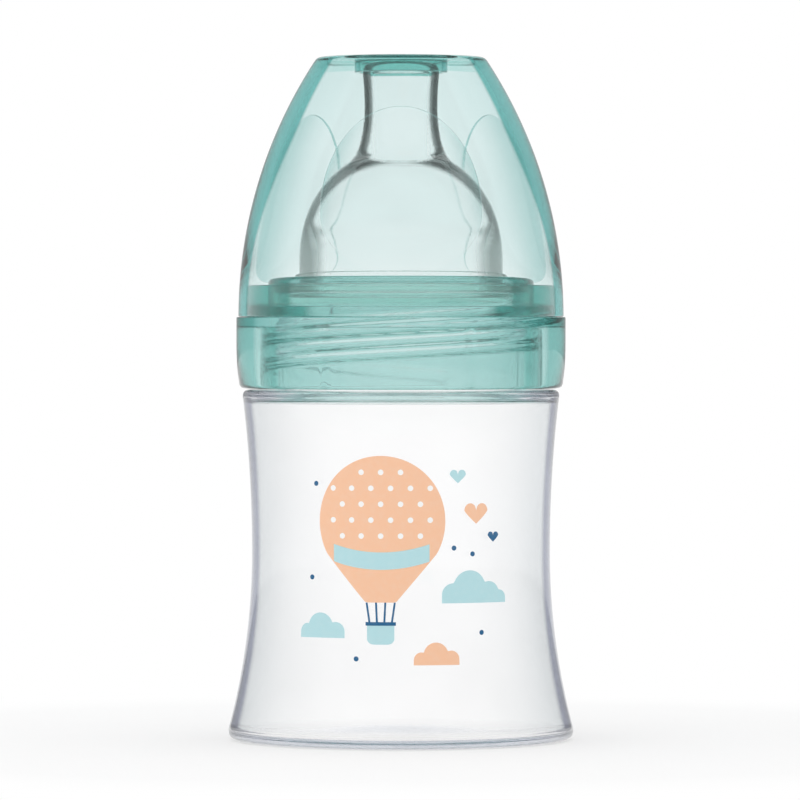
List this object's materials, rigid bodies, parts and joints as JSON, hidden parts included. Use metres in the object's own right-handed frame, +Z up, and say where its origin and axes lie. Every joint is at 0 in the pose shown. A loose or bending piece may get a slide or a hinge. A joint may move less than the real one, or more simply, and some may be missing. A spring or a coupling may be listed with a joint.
{
  "type": "baby bottle",
  "caption": "Small waisted baby bottle with a wide neck, a tinted screw ring, a soft clear teat and a tinted domed cap that pulls off.",
  "frame": {"origin": "centre of the foot, on the surface the bottle stands on", "axes": "+Z up along the axis of the bottle, front panel of the cap towards -Y"},
  "size_m": [0.0684, 0.0684, 0.1363],
  "materials": {
    "bottle": "clear moulded polypropylene, slightly milky, gloss",
    "screw_ring": "translucent teal moulded polypropylene, gloss",
    "teat": "clear liquid silicone rubber, satin",
    "cap": "transparent pale teal moulded plastic, gloss"
  },
  "bodies": {
    "bottle": {"bottle": "bottle"},
    "teat": {"teat": "teat"},
    "ring": {"screw_ring": "screw_ring"},
    "cap": {"cap": "cap"}
  },
  "joints": [
    {"name": "ring_lift", "type": "slide", "parent": "bottle", "child": "teat", "axis": [0, 0, 1], "range_m": [0, 0.02]},
    {"name": "ring_turn", "type": "hinge", "parent": "teat", "child": "ring", "pos_m": [0, 0, 0.08], "axis": [0, 0, 1], "range_deg": [0, 756]},
    {"name": "cap_pull", "type": "slide", "parent": "ring", "child": "cap", "axis": [0, 0, 1], "range_m": [0, 0.056]}
  ],
  "couplings": [
    {"joint": "ring_lift", "follows": "ring_turn", "m_per_rad": 0.0014961}
  ]
}
